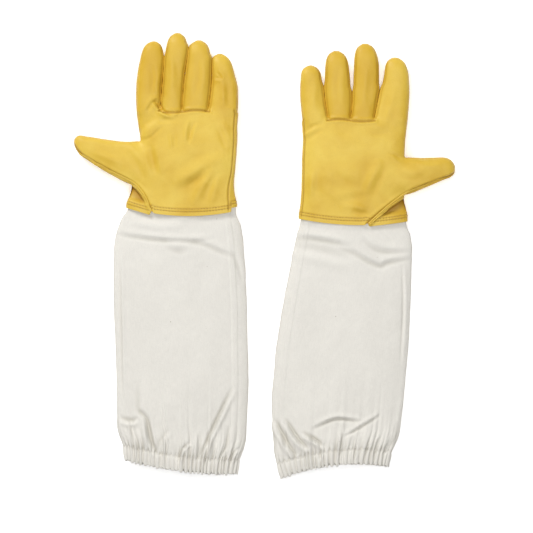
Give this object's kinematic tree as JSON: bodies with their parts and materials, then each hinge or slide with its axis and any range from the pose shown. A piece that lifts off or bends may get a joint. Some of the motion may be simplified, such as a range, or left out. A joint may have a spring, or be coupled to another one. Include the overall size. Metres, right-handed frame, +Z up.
{
  "type": "beekeeping gloves",
  "caption": "Pair of long protective gloves: yellow leather hands with separate finger panels and wing thumbs, on cotton canvas gauntlets with gathered elastic hems, lying flat.",
  "frame": {"origin": "centre of the bounding box's underside, on the surface that the pair lies on", "axes": "+Y points along the fingers, +X from the left glove to the right glove, +Z up out of the palms"},
  "size_m": [0.4264, 0.498, 0.0235],
  "materials": {
    "leather": "yellow grain leather, soft satin",
    "leather_back": "yellow grain leather, soft satin",
    "welt": "yellow leather edge strip",
    "canvas": "undyed plain-weave cotton canvas",
    "elastic": "woven elastic band",
    "thread": "yellow sewing thread",
    "white_thread": "off-white sewing thread"
  },
  "bodies": {
    "left_sleeve": {"left_gauntlet": "canvas", "left_elastic_band": "elastic", "left_casing_stitch": "white_thread"},
    "left_hand": {"left_palm": "leather", "left_back": "leather_back", "left_gauntlet_top": "canvas", "left_cuff_stitch_lower": "thread", "left_cuff_stitch_upper": "thread"},
    "left_index": {"left_index_front": "leather", "left_index_back": "leather_back", "left_index_fourchette_middle_side": "leather"},
    "left_middle": {"left_middle_front": "leather", "left_middle_back": "leather_back", "left_middle_fourchette_index_side": "leather", "left_middle_fourchette_ring_side": "leather"},
    "left_ring": {"left_ring_front": "leather", "left_ring_back": "leather_back", "left_ring_fourchette_middle_side": "leather", "left_ring_fourchette_little_side": "leather"},
    "left_little": {"left_little_front": "leather", "left_little_back": "leather_back", "left_little_fourchette_ring_side": "leather"},
    "left_thumb": {"left_thumb_front": "leather", "left_thumb_back": "leather_back", "left_thumb_welt": "welt"},
    "right_sleeve": {"right_gauntlet": "canvas", "right_elastic_band": "elastic", "right_casing_stitch": "white_thread"},
    "right_hand": {"right_palm": "leather", "right_back": "leather_back", "right_gauntlet_top": "canvas", "right_cuff_stitch_lower": "thread", "right_cuff_stitch_upper": "thread"},
    "right_index": {"right_index_front": "leather", "right_index_back": "leather_back", "right_index_fourchette_middle_side": "leather"},
    "right_middle": {"right_middle_front": "leather", "right_middle_back": "leather_back", "right_middle_fourchette_index_side": "leather", "right_middle_fourchette_ring_side": "leather"},
    "right_ring": {"right_ring_front": "leather", "right_ring_back": "leather_back", "right_ring_fourchette_middle_side": "leather", "right_ring_fourchette_little_side": "leather"},
    "right_little": {"right_little_front": "leather", "right_little_back": "leather_back", "right_little_fourchette_ring_side": "leather"},
    "right_thumb": {"right_thumb_front": "leather", "right_thumb_back": "leather_back", "right_thumb_welt": "welt"}
  },
  "joints": [
    {"name": "left_wrist_fold", "type": "hinge", "parent": "left_sleeve", "child": "left_hand", "pos_m": [-0.09555, 0.018, 0.018], "axis": [1, 0, 0], "range_deg": [0, 80]},
    {"name": "left_index_curl", "type": "hinge", "parent": "left_hand", "child": "left_index", "pos_m": [-0.13025, 0.16, 0.021], "axis": [1, 0, 0], "range_deg": [0, 80]},
    {"name": "left_middle_curl", "type": "hinge", "parent": "left_hand", "child": "left_middle", "pos_m": [-0.10465, 0.16, 0.021], "axis": [1, 0, 0], "range_deg": [0, 80]},
    {"name": "left_ring_curl", "type": "hinge", "parent": "left_hand", "child": "left_ring", "pos_m": [-0.0779, 0.16, 0.021], "axis": [1, 0, 0], "range_deg": [0, 80]},
    {"name": "left_little_curl", "type": "hinge", "parent": "left_hand", "child": "left_little", "pos_m": [-0.04605, 0.16, 0.021], "axis": [1, 0, 0], "range_deg": [0, 80]},
    {"name": "left_thumb_fold", "type": "hinge", "parent": "left_hand", "child": "left_thumb", "pos_m": [-0.14435, 0.1036, 0.0235], "axis": [0.1904, 0.9817, 0], "range_deg": [0, 60]},
    {"name": "right_wrist_fold", "type": "hinge", "parent": "right_sleeve", "child": "right_hand", "pos_m": [0.09875, 0.008, 0.018], "axis": [1, 0, 0], "range_deg": [0, 80]},
    {"name": "right_index_curl", "type": "hinge", "parent": "right_hand", "child": "right_index", "pos_m": [0.14095, 0.15, 0.021], "axis": [1, 0, 0], "range_deg": [0, 80]},
    {"name": "right_middle_curl", "type": "hinge", "parent": "right_hand", "child": "right_middle", "pos_m": [0.1084, 0.15, 0.021], "axis": [1, 0, 0], "range_deg": [0, 80]},
    {"name": "right_ring_curl", "type": "hinge", "parent": "right_hand", "child": "right_ring", "pos_m": [0.0838, 0.15, 0.021], "axis": [1, 0, 0], "range_deg": [0, 80]},
    {"name": "right_little_curl", "type": "hinge", "parent": "right_hand", "child": "right_little", "pos_m": [0.0565, 0.15, 0.021], "axis": [1, 0, 0], "range_deg": [0, 80]},
    {"name": "right_thumb_fold", "type": "hinge", "parent": "right_hand", "child": "right_thumb", "pos_m": [0.1573, 0.0885, 0.0235], "axis": [-0.0046, -1, 0], "range_deg": [0, 60]},
    {"name": "pair_spacing", "type": "slide", "parent": "left_sleeve", "child": "right_sleeve", "axis": [1, 0, 0], "range_m": [0, 0.2]}
  ]
}
